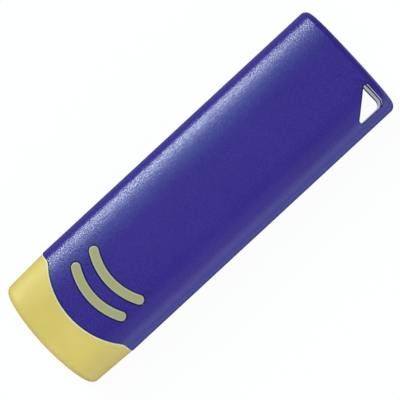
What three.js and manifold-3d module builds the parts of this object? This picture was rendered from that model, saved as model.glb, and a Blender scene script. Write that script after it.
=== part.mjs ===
// A pocket plastic eraser: a soft translucent block held in a slim case of two moulded covers.
// The covers are crowned half shells that meet at mid thickness. The block's tip stands out of
// the case's curved mouth, two curved ribs on the block fill windows in the front cover, and a
// three-cornered lanyard hole passes through a corner of the other end.
// Millimetres. +X runs from the eraser tip to the lanyard end, +Z points out of the front cover,
// and the origin is the middle of the face that the eraser lies on.
import * as THREE from "three";
import { mergeVertices } from "three/addons/utils/BufferGeometryUtils.js";
import Module from "manifold-3d";

const wasm = await Module();
wasm.setup();

// Outside of the whole eraser
const overallLength = 60.2;
const bodyWidth = 19.1;
const bodyThickness = 9.5;
const faceFlatWidth = 6; // the level strip along the middle of each face
const shoulderPower = 3; // fullness of the shoulders: 2 is an ellipse, more is squarer

// Lanyard end of the case
const caseCornerRadius = 1; // its corners, seen from the front
const caseFaceRound = 1.1; // its edges, from each face to the end
const caseEndArcRadius = 250; // the end is bowed out a little

// Exposed tip of the block
const tipMiddleReach = 5.5; // from the tip to the mouth of the case, along the middle
const tipSideReach = 8.5; // and along the sides
const tipCornerRadius = 1;
const tipFaceRound = 0.5;
const tipEndArcRadius = 38;
const tipTaper = 0.3; // each side of the tip is this much narrower at its end than at the mouth
const tipInset = 0.06; // the tip lies this far under the case's skin

// Mouth of the case: an arc that bulges towards the tip and runs out square to the sides
const mouthArcRadius = 12.2;
const mouthRunOutRadius = 1.4;
const mouthGap = 0.12; // between the mouth's edge and the tip

// Walls and joint of the case
const caseWall = 1.2;
const innerCornerRadius = 0.3; // the least rounding of the hollow's corners
const partingGap = 0.1; // the fine line between the covers
const lipHeight = 0.8; // the front cover's inner lip, which enters the rear cover
const lipThickness = 0.55;
const lipClearance = 0.08;

// Curved windows in the front cover
const windowArcRadius = 9.5;
const windowWidth = 1.5;
const windowHalfChord = 4.75; // from the middle line to the centre of each round end
const windowFromMouth = 4.15;
const windowPitch = 3.46;
const windowCount = 2;
const ribClearance = 0.08; // round each rib of the block in its window
const ribRecess = 0.15; // the ribs end this far under the case's skin

// Three-cornered lanyard hole, with its square corner next to the case's corner
const holeLegAlong = 5.1;
const holeLegAcross = 4.45;
const holeEndWall = 1.28;
const holeSideWall = 1.54;
const holeSquareCornerRadius = 1;
const holeSharpCornerRadius = 0.4;
const holeTubeWall = 1.3;
const spigotWall = 0.5; // the rear cover's part of the tube, where it enters the front cover's
const spigotRise = 1.86; // from mid thickness to the joint of the two tubes

// Tenon of the block inside the case, and the bulkhead that it stops on
const tenonLength = 15;
const tenonClearance = 0.1;
const bulkheadClearance = 0.1;
const bulkheadThickness = 1;

// Press-fit pins of the rear cover and their sockets in the front cover
const pinFromBulkhead = 3;
const pinFromCaseEnd = 11.6;
const pinFromMiddle = 4.6;
const pinRadius = 0.8;
const pinReach = 2.4;
const postRadius = 1.6;
const socketClearance = 0.05;
const socketSpareDepth = 0.3;

// Low ribs across the floor of both covers, between the two rows of pins
const floorRibCount = 3;
const floorRibThickness = 0.8;
const floorRibHeight = 1.1;

// Fineness of the curves
const shoulderSteps = 12;
const roundingSteps = 5;
const endFaceSteps = 4;
const curveSteps = 14;
const postSides = 24;

// Places worked out from the sizes above
const halfWidth = bodyWidth / 2;
const middleZ = bodyThickness / 2;
const tipEndX = -overallLength / 2;
const caseEndX = overallLength / 2;
const mouthMiddleX = tipEndX + tipMiddleReach;
const mouthSideX = tipEndX + tipSideReach;
const tenonEndX = mouthMiddleX + tenonLength;
const bulkheadX = tenonEndX + bulkheadClearance;
const pinRowXs = [bulkheadX + bulkheadThickness + pinFromBulkhead, caseEndX - pinFromCaseEnd];
const beyond = 2; // how far the cutting shapes run past what they cut

// One material for each piece
const caseFinish = { color: 0x3c328a, roughness: 0.4, metalness: 0 };
const frontPlastic = new THREE.MeshStandardMaterial(caseFinish);
const rearPlastic = new THREE.MeshStandardMaterial(caseFinish);
const eraserCompound = new THREE.MeshStandardMaterial({ color: 0xd8c870, roughness: 0.55, metalness: 0 });

// Turns a closed geometry into a solid that can be joined and cut.
function toSolid(geometry) {
  geometry.deleteAttribute("normal");
  geometry.deleteAttribute("uv");
  const merged = mergeVertices(geometry, 1e-4);
  return new wasm.Manifold(new wasm.Mesh({
    numProp: 3,
    vertProperties: new Float32Array(merged.attributes.position.array),
    triVerts: new Uint32Array(merged.index.array),
  }));
}

// Turns a solid into the geometry of a mesh.
function toGeometry(solid) {
  const { vertProperties, triVerts } = solid.getMesh();
  const geometry = new THREE.BufferGeometry();
  geometry.setAttribute("position", new THREE.BufferAttribute(vertProperties, 3));
  geometry.setIndex(new THREE.BufferAttribute(triVerts, 1));
  geometry.computeVertexNormals();
  return geometry;
}

// An outline in the plane of the face, raised from one height to another.
function prism(outline, lowZ, highZ) {
  const options = { depth: highZ - lowZ, bevelEnabled: false, curveSegments: curveSteps };
  return toSolid(new THREE.ExtrudeGeometry(outline, options).translate(0, 0, lowZ));
}

// A prism through the whole thickness.
const throughPrism = (outline) => prism(outline, -beyond, bodyThickness + beyond);

// A block across the whole width, between two places along the length and two heights.
function slab(lowX, highX, lowZ, highZ) {
  const box = new THREE.BoxGeometry(highX - lowX, bodyWidth + 2 * beyond, highZ - lowZ);
  return toSolid(box.translate((lowX + highX) / 2, 0, (lowZ + highZ) / 2));
}

// An upright round post.
function post(x, y, radius, lowZ, highZ) {
  const round = new THREE.CylinderGeometry(radius, radius, highZ - lowZ, postSides);
  return toSolid(round.rotateX(Math.PI / 2).translate(x, y, (lowZ + highZ) / 2));
}

// The crowned cross-section as a closed loop of [y, z] about the middle: a level strip on each
// face, and shoulders that are quarter superellipses, which leave the strip without an edge.
function section(halfAcross, halfUp, halfStrip) {
  const shoulder = Array.from({ length: shoulderSteps + 1 }, (_, step) => {
    const turn = (step / shoulderSteps) * (Math.PI / 2);
    const across = Math.max(Math.cos(turn), 0) ** (2 / shoulderPower);
    const up = Math.sin(turn) ** (2 / shoulderPower);
    return [halfStrip + (halfAcross - halfStrip) * across, halfUp * up];
  });
  const upper = [...shoulder, ...shoulder.map(([y, z]) => [-y, z]).reverse()];
  const lower = upper.slice(1, -1).map(([y, z]) => [y, -z]).reverse();
  return [...upper, ...lower];
}

// How far a bowed end stands back from its middle, at a distance y from the middle line. An end
// without a radius is flat.
const bow = (radius, y) => (radius ? radius - Math.sqrt(radius * radius - y * y) : 0);

// The rings of one rounded end, from the middle of its face to the full section. The end is a
// bowed face, then a rounding, and then a stretch over which its taper and bow run out.
function endRings({ x, inward, arcRadius, cornerRadius, faceRound, taper }, inset) {
  const corner = Math.max(cornerRadius - inset, innerCornerRadius);
  const edge = Math.max(faceRound - inset, innerCornerRadius);
  const faceStations = Array.from({ length: endFaceSteps }, (_, step) => (
    { depth: 0, shrink: 1, scale: step / endFaceSteps }
  ));
  const roundingStations = Array.from({ length: roundingSteps + 1 }, (_, step) => {
    const turn = (step / roundingSteps) * (Math.PI / 2);
    return { depth: corner * (1 - Math.cos(turn)), shrink: 1 - Math.sin(turn), scale: 1 };
  });
  const fullStation = { depth: tipSideReach, shrink: 0, scale: 1 };
  return [...faceStations, ...roundingStations, fullStation].map(({ depth, shrink, scale }) => {
    const left = 1 - depth / tipSideReach;
    const outline = section(
      (halfWidth - inset - corner * shrink - taper * left) * scale,
      (middleZ - inset - edge * shrink - taper * left) * scale,
      (faceFlatWidth / 2) * scale,
    );
    return outline.map(([y, z]) => new THREE.Vector3(
      x + inward * (inset + depth + bow(arcRadius, y) * left), y, middleZ + z,
    ));
  });
}

// A closed skin over rings of equal length, the first and last of which are single points.
function loft(rings) {
  const count = rings[0].length;
  const faces = [];
  for (let ring = 0; ring + 1 < rings.length; ring += 1) {
    for (let side = 0; side < count; side += 1) {
      const here = ring * count + side;
      const next = ring * count + ((side + 1) % count);
      if (ring > 0) faces.push(here, next, next + count);
      if (ring + 2 < rings.length) faces.push(here, next + count, here + count);
    }
  }
  const geometry = new THREE.BufferGeometry().setFromPoints(rings.flat());
  geometry.setIndex(faces);
  return toSolid(geometry);
}

// The whole crowned body, drawn in by an inset on every side.
function body(inset, { taper = 0, tipX = tipEndX, endArcRadius = caseEndArcRadius } = {}) {
  const tipEnd = {
    x: tipX,
    inward: 1,
    arcRadius: tipEndArcRadius,
    cornerRadius: tipCornerRadius,
    faceRound: tipFaceRound,
    taper,
  };
  const caseEnd = {
    x: caseEndX,
    inward: -1,
    arcRadius: endArcRadius,
    cornerRadius: caseCornerRadius,
    faceRound: caseFaceRound,
    taper: 0,
  };
  return loft([...endRings(tipEnd, inset), ...endRings(caseEnd, inset).reverse()]);
}

// The inside of the case at an inset from its skin, with a flat end.
const inside = (inset) => body(inset, { endArcRadius: null });

// What lies on the case's side of the mouth. A positive shift moves the edge towards the tip.
function caseSideOfMouth(shift) {
  const centreX = mouthMiddleX + mouthArcRadius;
  const runOutX = mouthSideX - mouthRunOutRadius;
  const apart = mouthArcRadius + mouthRunOutRadius;
  const runOutY = Math.sqrt(apart ** 2 - (centreX - runOutX) ** 2);
  const lean = Math.atan2(runOutY, centreX - runOutX);
  const wide = halfWidth + beyond;
  const outline = new THREE.Shape();
  outline.moveTo(caseEndX + beyond, -wide);
  outline.lineTo(caseEndX + beyond, wide);
  outline.lineTo(mouthSideX - shift, wide);
  outline.absarc(runOutX, runOutY, mouthRunOutRadius - shift, 0, -lean, true);
  outline.absarc(centreX, 0, mouthArcRadius + shift, Math.PI - lean, Math.PI + lean, false);
  outline.absarc(runOutX, -runOutY, mouthRunOutRadius - shift, lean, 0, true);
  outline.lineTo(mouthSideX - shift, -wide);
  return outline;
}

// A curved slot with round ends, drawn in by a clearance.
function windowOutline(index, clearance) {
  const centreX = mouthMiddleX + windowFromMouth + index * windowPitch + windowArcRadius;
  const half = windowWidth / 2 - clearance;
  const lean = Math.asin(windowHalfChord / windowArcRadius);
  const endX = centreX - windowArcRadius * Math.cos(lean);
  const outline = new THREE.Shape();
  outline.absarc(centreX, 0, windowArcRadius + half, Math.PI - lean, Math.PI + lean, false);
  outline.absarc(endX, -windowHalfChord, half, Math.PI + lean, 2 * Math.PI + lean, false);
  outline.absarc(centreX, 0, windowArcRadius - half, Math.PI + lean, Math.PI - lean, true);
  outline.absarc(endX, windowHalfChord, half, -lean, Math.PI - lean, false);
  return outline;
}

// A convex outline, listed anticlockwise, with each side moved out by a margin and rounded corners.
function roundedOutline(corners, margin) {
  const outline = new THREE.Shape();
  corners.forEach(({ x, y, radius }, index) => {
    const corner = new THREE.Vector2(x, y);
    const before = corners[(index + corners.length - 1) % corners.length];
    const after = corners[(index + 1) % corners.length];
    const arriving = corner.clone().sub(before).normalize();
    const leaving = new THREE.Vector2(after.x, after.y).sub(corner).normalize();
    const halfAngle = (Math.PI - Math.acos(arriving.dot(leaving))) / 2;
    const intoCorner = leaving.clone().sub(arriving).normalize();
    const centre = corner.addScaledVector(intoCorner, radius / Math.sin(halfAngle));
    const from = Math.atan2(-arriving.x, arriving.y);
    const to = Math.atan2(-leaving.x, leaving.y);
    outline.absarc(centre.x, centre.y, radius + margin, from, to, false);
  });
  return outline;
}

// The lanyard hole, or with a margin the tube round it.
function lanyardHole(margin) {
  const endX = caseEndX - holeEndWall;
  const sideY = -(halfWidth - holeSideWall);
  return roundedOutline([
    { x: endX, y: sideY, radius: holeSquareCornerRadius },
    { x: endX, y: sideY + holeLegAcross, radius: holeSharpCornerRadius },
    { x: endX - holeLegAlong, y: sideY, radius: holeSharpCornerRadius },
  ], margin);
}

// The end of the rear cover's tube, as a full block, or with a clearance the room for it.
const spigot = (clearance, lowZ, highZ) => prism(lanyardHole(spigotWall + clearance), lowZ, highZ);

// Heights between two distances from the parting plane, towards the front (1) or the rear (-1).
function heights(side, near, far) {
  return side > 0 ? [middleZ + near, middleZ + far] : [middleZ - far, middleZ - near];
}

// The places of the pins, in two rows of two.
const pinPlaces = pinRowXs.flatMap((x) => [[x, -pinFromMiddle], [x, pinFromMiddle]]);

// What stands inside one cover: the tube round the lanyard hole, the bulkhead that the tenon
// stops on, low ribs across the floor and a post for each pin. The posts of the two covers meet
// on the parting plane, and the rest stands back from it by half of the parting gap.
function fittings(side) {
  const [firstRow, lastRow] = pinRowXs;
  const floor = middleZ - caseWall;
  const gap = partingGap / 2;
  const tube = prism(lanyardHole(holeTubeWall), ...heights(side, gap, middleZ));
  const bulkheadEndX = bulkheadX + bulkheadThickness;
  let joined = tube.add(slab(bulkheadX, bulkheadEndX, ...heights(side, gap, middleZ)));
  for (let index = 1; index <= floorRibCount; index += 1) {
    const x = firstRow + ((lastRow - firstRow) * index) / (floorRibCount + 1);
    const ends = [x - floorRibThickness / 2, x + floorRibThickness / 2];
    joined = joined.add(slab(...ends, ...heights(side, floor - floorRibHeight, middleZ)));
  }
  for (const [x, y] of pinPlaces) {
    joined = joined.add(post(x, y, postRadius, ...heights(side, 0, middleZ)));
  }
  return joined;
}

// One half of the case's outside, as a solid block up to its rim.
function halfCase(side) {
  const span = slab(tipEndX, caseEndX + beyond, ...heights(side, partingGap / 2, middleZ + beyond));
  return body(0).intersect(throughPrism(caseSideOfMouth(0))).intersect(span);
}

// The front cover, with its windows, lip and sockets, and the room for the rear cover's spigot.
function frontCover() {
  const lip = inside(caseWall - lipThickness)
    .intersect(slab(tipEndX, caseEndX, middleZ - lipHeight, middleZ + partingGap))
    .intersect(throughPrism(caseSideOfMouth(-lipClearance)))
    .subtract(throughPrism(lanyardHole(holeTubeWall + 2 * lipClearance)));
  let cover = halfCase(1).add(lip)
    .subtract(inside(caseWall).subtract(fittings(1)))
    .subtract(throughPrism(lanyardHole(0)))
    .subtract(spigot(lipClearance, middleZ - beyond, middleZ + spigotRise + partingGap / 2));
  for (const [x, y] of pinPlaces) {
    const socketTop = middleZ + pinReach + socketSpareDepth;
    cover = cover.subtract(post(x, y, pinRadius + socketClearance, middleZ - beyond, socketTop));
  }
  for (let index = 0; index < windowCount; index += 1) {
    cover = cover.subtract(prism(windowOutline(index, 0), middleZ, bodyThickness + beyond));
  }
  return cover;
}

// The rear cover, with its pins, its spigot and the rebate for the lip.
function rearCover() {
  const rebateZ = middleZ - lipHeight - lipClearance;
  const rebate = inside(caseWall - lipThickness - lipClearance)
    .subtract(inside(caseWall + lipClearance))
    .intersect(slab(tipEndX, caseEndX, rebateZ, middleZ))
    .subtract(throughPrism(lanyardHole(holeTubeWall + lipClearance)));
  let cover = halfCase(-1)
    .subtract(inside(caseWall).subtract(fittings(-1)))
    .subtract(rebate)
    .add(spigot(0, middleZ - lipHeight, middleZ + spigotRise - partingGap / 2))
    .subtract(throughPrism(lanyardHole(0)));
  for (const [x, y] of pinPlaces) {
    cover = cover.add(post(x, y, pinRadius, caseWall, middleZ + pinReach));
  }
  return cover;
}

// The soft block: the exposed tip, the tenon inside the case and the ribs in the windows.
function eraserBlock() {
  const tip = body(tipInset, { taper: tipTaper, tipX: tipEndX - tipInset })
    .subtract(throughPrism(caseSideOfMouth(mouthGap)));
  const tenonStartX = mouthMiddleX - mouthGap - tipMiddleReach / 2;
  const tenon = inside(caseWall + tenonClearance)
    .intersect(slab(tenonStartX, tenonEndX, 0, bodyThickness));
  let block = tip.add(tenon);
  const skin = body(ribRecess);
  for (let index = 0; index < windowCount; index += 1) {
    const rib = prism(windowOutline(index, ribClearance), middleZ, bodyThickness);
    block = block.add(rib.intersect(skin));
  }
  return block;
}

// A named mesh of one piece.
function piece(name, solid, material) {
  const mesh = new THREE.Mesh(toGeometry(solid), material);
  mesh.name = name;
  return mesh;
}

const eraser = new THREE.Group();
eraser.add(piece("front_cover", frontCover(), frontPlastic));
eraser.add(piece("rear_cover", rearCover(), rearPlastic));
eraser.add(piece("eraser_block", eraserBlock(), eraserCompound));

export default eraser;
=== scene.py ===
# %% [markdown]
# # A cased pocket eraser
# The object is a soft yellow eraser block in a slim blue case of two moulded covers. The packed
# CAD model is loaded first and gives every size that can be read from it. Each piece is then
# made again as a fine surface with rounded edges, because plastic mouldings and soft compound
# show their quality in the way that light runs over an edge.

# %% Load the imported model
import math
from types import SimpleNamespace

import bmesh
import bpy
import numpy as np
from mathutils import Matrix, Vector
from mathutils.geometry import delaunay_2d_cdt


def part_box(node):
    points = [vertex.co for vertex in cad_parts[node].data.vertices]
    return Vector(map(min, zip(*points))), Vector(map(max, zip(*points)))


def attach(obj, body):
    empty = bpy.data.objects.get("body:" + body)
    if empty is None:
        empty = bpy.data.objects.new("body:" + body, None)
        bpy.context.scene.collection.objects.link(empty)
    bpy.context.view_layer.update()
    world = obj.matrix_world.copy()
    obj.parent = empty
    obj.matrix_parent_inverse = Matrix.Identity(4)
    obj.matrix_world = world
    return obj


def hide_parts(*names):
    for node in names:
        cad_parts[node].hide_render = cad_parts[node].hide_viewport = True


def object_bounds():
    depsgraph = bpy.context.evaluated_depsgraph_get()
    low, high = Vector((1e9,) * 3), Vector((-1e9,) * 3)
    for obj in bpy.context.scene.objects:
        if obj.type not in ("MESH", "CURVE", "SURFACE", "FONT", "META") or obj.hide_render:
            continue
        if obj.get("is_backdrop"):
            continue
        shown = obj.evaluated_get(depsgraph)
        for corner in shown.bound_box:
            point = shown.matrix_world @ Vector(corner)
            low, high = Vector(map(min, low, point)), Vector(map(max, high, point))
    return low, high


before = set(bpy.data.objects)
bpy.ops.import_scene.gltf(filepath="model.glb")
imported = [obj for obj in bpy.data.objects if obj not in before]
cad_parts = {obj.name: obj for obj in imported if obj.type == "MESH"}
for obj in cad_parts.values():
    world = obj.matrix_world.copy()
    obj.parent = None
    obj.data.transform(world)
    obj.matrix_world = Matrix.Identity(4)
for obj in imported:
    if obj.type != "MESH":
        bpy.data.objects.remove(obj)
cad_box = [list(corner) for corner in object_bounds()]
print("nodes:", sorted(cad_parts))

# %% [markdown]
# ## Sizes
# Overall sizes come from the frame, so that the surfaces made here always fill the CAD box. The
# small sizes that a box can't tell, such as edge rounds and window widths, are named once, where
# they are first needed, in millimetres times MM.

# %% Sizes
MM = 0.001
rear_low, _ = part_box("rear_cover")
front_low, front_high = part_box("front_cover")
block_low, block_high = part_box("eraser_block")

CASE_END_X = front_high.x
MOUTH_MIDDLE_X = front_low.x
TIP_END_X = block_low.x
TENON_END_X = block_high.x
HALF_WIDTH = front_high.y
THICKNESS = front_high.z - rear_low.z
MIDDLE_Z = THICKNESS / 2
print("length", round((CASE_END_X - TIP_END_X) / MM, 2), "mm, thickness", round(THICKNESS / MM, 2))

# %% [markdown]
# ## The crowned section
# Cut across, the body is a level strip on each face with shoulders that are quarter
# superellipses. A plain fillet would leave a visible line where it starts, and a superellipse
# doesn't, because its curvature grows from nothing. Unrolling the section to its own arc length
# gives a flat sheet on which windows, holes and rings can be drawn without stretching.

# %% The crowned section
FLAT_STRIP = 6 * MM  # the level strip along the middle of each face
SHOULDER_POWER = 3  # 2 would be an ellipse, more is squarer
SHOULDER_SAMPLES = 3001


def quarter(angle):
    """Unit superellipse quarter at a polar angle: (cos, sin) divided by (cos^p + sin^p)^(1/p)."""
    cosine, sine = np.cos(angle), np.sin(angle)
    size = (cosine ** SHOULDER_POWER + sine ** SHOULDER_POWER) ** (1 / SHOULDER_POWER)
    return cosine / size, sine / size


SHOULDER_ANGLE = np.linspace(math.pi / 2, 0, SHOULDER_SAMPLES)
shoulder_y, shoulder_z = quarter(SHOULDER_ANGLE)
shoulder_step = np.hypot(
    np.diff(shoulder_y) * (HALF_WIDTH - FLAT_STRIP / 2), np.diff(shoulder_z) * MIDDLE_Z
)
SHOULDER_LENGTH = np.concatenate([[0], np.cumsum(shoulder_step)])
HALF_GIRTH = FLAT_STRIP / 2 + SHOULDER_LENGTH[-1]
print("half of the section unrolled:", round(HALF_GIRTH / MM, 2), "mm")

# %% [markdown]
# ## Skins
# A skin is a function of two parameters: how far a point lies from one end, measured along the
# surface, and how far from the middle line, measured round the section. The end is a bowed face
# with a rounded edge. The outside of the case, its inside, the exposed tip and the hidden tenon
# are the same function with other sizes, so they stay parallel.

# %% Skins
END_FADE = 8.5 * MM  # an end's bow and taper run out over this length
NORMAL_STEP = 0.002 * MM


def make_skin(x, way, inset, arc, corner, edge, taper=0.0):
    """One skin: its end's place and direction, its inset, and the shape of its rounded end."""
    return SimpleNamespace(
        x=x, way=way, inset=inset, arc=arc, corner=corner, edge=edge, taper=taper
    )


def skin_points(skin, along, round_):
    """Points of a skin. Depth and shrinkage follow a quarter circle over the rounded edge and
    then grow evenly. The section at that depth is the superellipse, and the end bows back by
    arc - sqrt(arc^2 - y^2)."""
    turn = np.clip(along / skin.corner, 0, math.pi / 2)
    past = np.maximum(along - skin.corner * math.pi / 2, 0)
    depth = skin.corner * (1 - np.cos(turn)) + past
    shrink = 1 - np.sin(turn)
    left = np.clip(1 - depth / END_FADE, 0, 1)
    half_strip = FLAT_STRIP / 2
    across = HALF_WIDTH - skin.inset - skin.corner * shrink - skin.taper * left - half_strip
    up = MIDDLE_Z - skin.inset - skin.edge * shrink - skin.taper * left
    arc_length = np.maximum(np.abs(round_) - half_strip, 0)
    unit_y, unit_z = quarter(np.interp(arc_length, SHOULDER_LENGTH, SHOULDER_ANGLE))
    y = np.clip(round_, -half_strip, half_strip) + np.sign(round_) * across * unit_y
    bow = skin.arc - np.sqrt(skin.arc ** 2 - y ** 2)
    x = skin.x - skin.way * (depth + bow * left)
    return np.stack(np.broadcast_arrays(x, y, MIDDLE_Z + up * unit_z), axis=-1)


def skin_normals(skin, along, round_):
    """Outward unit normals, from the cross product of two small steps on the skin."""
    high_along = along + NORMAL_STEP
    low_along = np.maximum(along - NORMAL_STEP, 0)
    d_along = skin_points(skin, high_along, round_) - skin_points(skin, low_along, round_)
    high_round = np.minimum(round_ + NORMAL_STEP, HALF_GIRTH)
    low_round = np.maximum(round_ - NORMAL_STEP, -HALF_GIRTH)
    d_round = skin_points(skin, along, high_round) - skin_points(skin, along, low_round)
    normal = np.cross(d_round, d_along) * skin.way
    return normal / np.linalg.norm(normal, axis=-1, keepdims=True)


WALL = 0.75 * MM
CORNER_ROUND = 1.0 * MM
EDGE_ROUND = 1.1 * MM
END_ARC = 250 * MM
outside = make_skin(CASE_END_X, 1, 0, END_ARC, CORNER_ROUND, EDGE_ROUND)
inside = make_skin(CASE_END_X - WALL, 1, WALL, END_ARC, CORNER_ROUND - WALL, EDGE_ROUND - WALL)
print("the case's skin ends at", (skin_points(outside, 0.0, 0.0) / MM).round(2), "mm")

# %% [markdown]
# ## From the plan to a skin
# Windows, ribs and the lanyard hole are drawn on the plan, the view from straight above, because
# a mould opens straight up and so their walls are upright. To cut them into the unrolled sheet,
# each place of the plan has to be found on it. A search would do, but the superellipse can be
# solved for its angle, which needs no tries.

# %% From the plan to a skin
def unrolled(skin, x, y):
    """The two parameters of the point of a skin that lies over a place (x, y) of the plan,
    away from the rounded end. The superellipse is solved for its angle."""
    half_strip = FLAT_STRIP / 2
    across = HALF_WIDTH - skin.inset - half_strip
    share = np.clip((np.abs(y) - half_strip) / across, 0, 1)
    rise = (1 - share ** SHOULDER_POWER) ** (1 / SHOULDER_POWER)
    angle = np.arctan2(rise, share)
    arc_length = np.interp(-angle, -SHOULDER_ANGLE, SHOULDER_LENGTH)
    round_ = np.where(np.abs(y) <= half_strip, y, np.sign(y) * (half_strip + arc_length))
    bow = skin.arc - np.sqrt(skin.arc ** 2 - y ** 2)
    reach = skin.way * (skin.x - x)
    faded = (reach - bow) / (1 - bow / END_FADE)
    depth = np.where(faded < END_FADE, faded, reach)
    return depth + skin.corner * (math.pi / 2 - 1), round_


def height_over(skin, x, y):
    """Height of a skin over a place of the plan, away from its ends."""
    along, round_ = unrolled(skin, x, y)
    return skin_points(skin, along, round_)[..., 2]


print("the case is", (height_over(outside, 0.0, 0.0) / MM).round(2), "mm high in its middle")

# %% [markdown]
# ## The mouth of the case
# Seen from the front, the case's mouth is an arc that bulges towards the tip and then runs out
# square to the sides through a small hollow fillet. Written as x over y, it serves both the case
# and the block, which keeps an even gap to it.

# %% The mouth
MOUTH_SIDE_X = TIP_END_X + 8.5 * MM
MOUTH_ARC = 12.2 * MM
MOUTH_RUN_OUT = 1.4 * MM
MOUTH_TRIES = 12
MOUTH_CENTRE_X = MOUTH_MIDDLE_X + MOUTH_ARC
RUN_OUT_X = MOUTH_SIDE_X - MOUTH_RUN_OUT
RUN_OUT_Y = math.sqrt((MOUTH_ARC + MOUTH_RUN_OUT) ** 2 - (MOUTH_CENTRE_X - RUN_OUT_X) ** 2)
MOUTH_LEAN = math.atan2(RUN_OUT_Y, MOUTH_CENTRE_X - RUN_OUT_X)


def mouth_x(y, shift):
    """The mouth's x at each y: a circle, then the run-out circle on its other side, then level.
    A positive shift moves the line towards the tip and keeps it parallel."""
    far = np.abs(y)
    arc, run_out = MOUTH_ARC + shift, MOUTH_RUN_OUT - shift
    on_arc = MOUTH_CENTRE_X - np.sqrt(np.maximum(arc ** 2 - far ** 2, 0))
    on_run_out = RUN_OUT_X + np.sqrt(np.maximum(run_out ** 2 - (far - RUN_OUT_Y) ** 2, 0))
    run_out_or_level = np.where(far < RUN_OUT_Y, on_run_out, MOUTH_SIDE_X - shift)
    return np.where(far < arc * math.sin(MOUTH_LEAN), on_arc, run_out_or_level)


def to_mouth(skin, round_, shift):
    """How far along a skin the mouth's line lies, for each place round the section: the distance
    is corrected a few times by the x that is still missing."""
    along = np.full_like(round_, END_FADE)
    for _ in range(MOUTH_TRIES):
        point = skin_points(skin, along, round_)
        along = along + skin.way * (point[..., 0] - mouth_x(point[..., 1], shift))
    return along


print("the mouth bulges", round((MOUTH_SIDE_X - MOUTH_MIDDLE_X) / MM, 2), "mm")

# %% [markdown]
# ## Loops of arcs
# The two windows are curved slots with round ends and the lanyard hole is a right-angled
# triangle with rounded corners. Both are chains of arcs in the plan. A loop of arcs needs only
# its centres, radii and angles, and straight sides appear by joining arc ends. Curve objects
# could be turned into loops as well, but they don't say where their points will lie.

# %% Loops of arcs
LOOP_STEP = 0.1 * MM
LEAST_ARC_POINTS = 6
SAME_PLACE = LOOP_STEP / 10  # two points of a loop that lie nearer than this are one


def arc_points(centre_x, centre_y, radius, start, stop):
    """Points of one arc, about one loop step apart."""
    count = max(int(abs(stop - start) * radius / LOOP_STEP), LEAST_ARC_POINTS)
    angle = np.linspace(start, stop, count)
    return np.stack([centre_x + radius * np.cos(angle), centre_y + radius * np.sin(angle)], axis=1)


def closed_loop(arcs):
    """Joins arcs into one loop, with extra points on the straight sides between them. It runs
    clockwise in the plan, which is anticlockwise on the unrolled sheet."""
    chain = [arcs[0]]
    for arc in arcs[1:] + [arcs[0][:1]]:
        gap = arc[0] - chain[-1][-1]
        count = int(np.hypot(*gap) / LOOP_STEP)
        share = np.arange(1, count)[:, None] / max(count, 1)
        chain += [chain[-1][-1] + gap * share, arc]
    loop = np.concatenate([part for part in chain[:-1] if len(part)])
    apart = np.linalg.norm(loop - np.roll(loop, 1, axis=0), axis=1)
    return loop[apart > SAME_PLACE][::-1]


print("a circle of 1 mm has", len(arc_points(0, 0, 1 * MM, 0, 2 * math.pi)), "points")

# %% [markdown]
# ## The windows
# Two slots in the front cover let ribs of the block show and hold the block in place. They bulge
# towards the tip, as the mouth does. A slot is two arcs round one centre with a round end at
# each side. Drawn in by a clearance, the same loop gives the rib that fills the slot, so the two
# can't differ.

# %% The windows
WINDOW_ARC = 9.5 * MM
WINDOW_WIDTH = 1.5 * MM
WINDOW_HALF_CHORD = 4.75 * MM
WINDOW_FROM_MOUTH = 4.15 * MM
WINDOW_PITCH = 3.46 * MM
WINDOW_COUNT = 2


def window_loop(index, clearance):
    """A slot of two parallel arcs and two round ends, drawn in by a clearance."""
    centre_x = MOUTH_MIDDLE_X + WINDOW_FROM_MOUTH + index * WINDOW_PITCH + WINDOW_ARC
    half = WINDOW_WIDTH / 2 - clearance
    lean = math.asin(WINDOW_HALF_CHORD / WINDOW_ARC)
    end_x = centre_x - WINDOW_ARC * math.cos(lean)
    return closed_loop([
        arc_points(centre_x, 0, WINDOW_ARC + half, math.pi - lean, math.pi + lean),
        arc_points(end_x, -WINDOW_HALF_CHORD, half, math.pi + lean, 2 * math.pi + lean),
        arc_points(centre_x, 0, WINDOW_ARC - half, math.pi + lean, math.pi - lean),
        arc_points(end_x, WINDOW_HALF_CHORD, half, -lean, math.pi - lean),
    ])


print("a window has", len(window_loop(0, 0)), "points")

# %% [markdown]
# ## The lanyard hole
# A cord can be tied through one corner of the case. The hole there is a triangle whose short
# sides run along the two edges of the case, so that the wall beside it is even and strong. Its
# corners are rounded with the arcs of a fillet, whose centres are worked out and not drawn.

# %% The lanyard hole
HOLE_LEG_ALONG = 5.1 * MM
HOLE_LEG_ACROSS = 4.45 * MM
HOLE_END_WALL = 1.28 * MM
HOLE_SIDE_WALL = 1.54 * MM
HOLE_SQUARE_ROUND = 1.0 * MM
HOLE_SHARP_ROUND = 0.4 * MM


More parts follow.
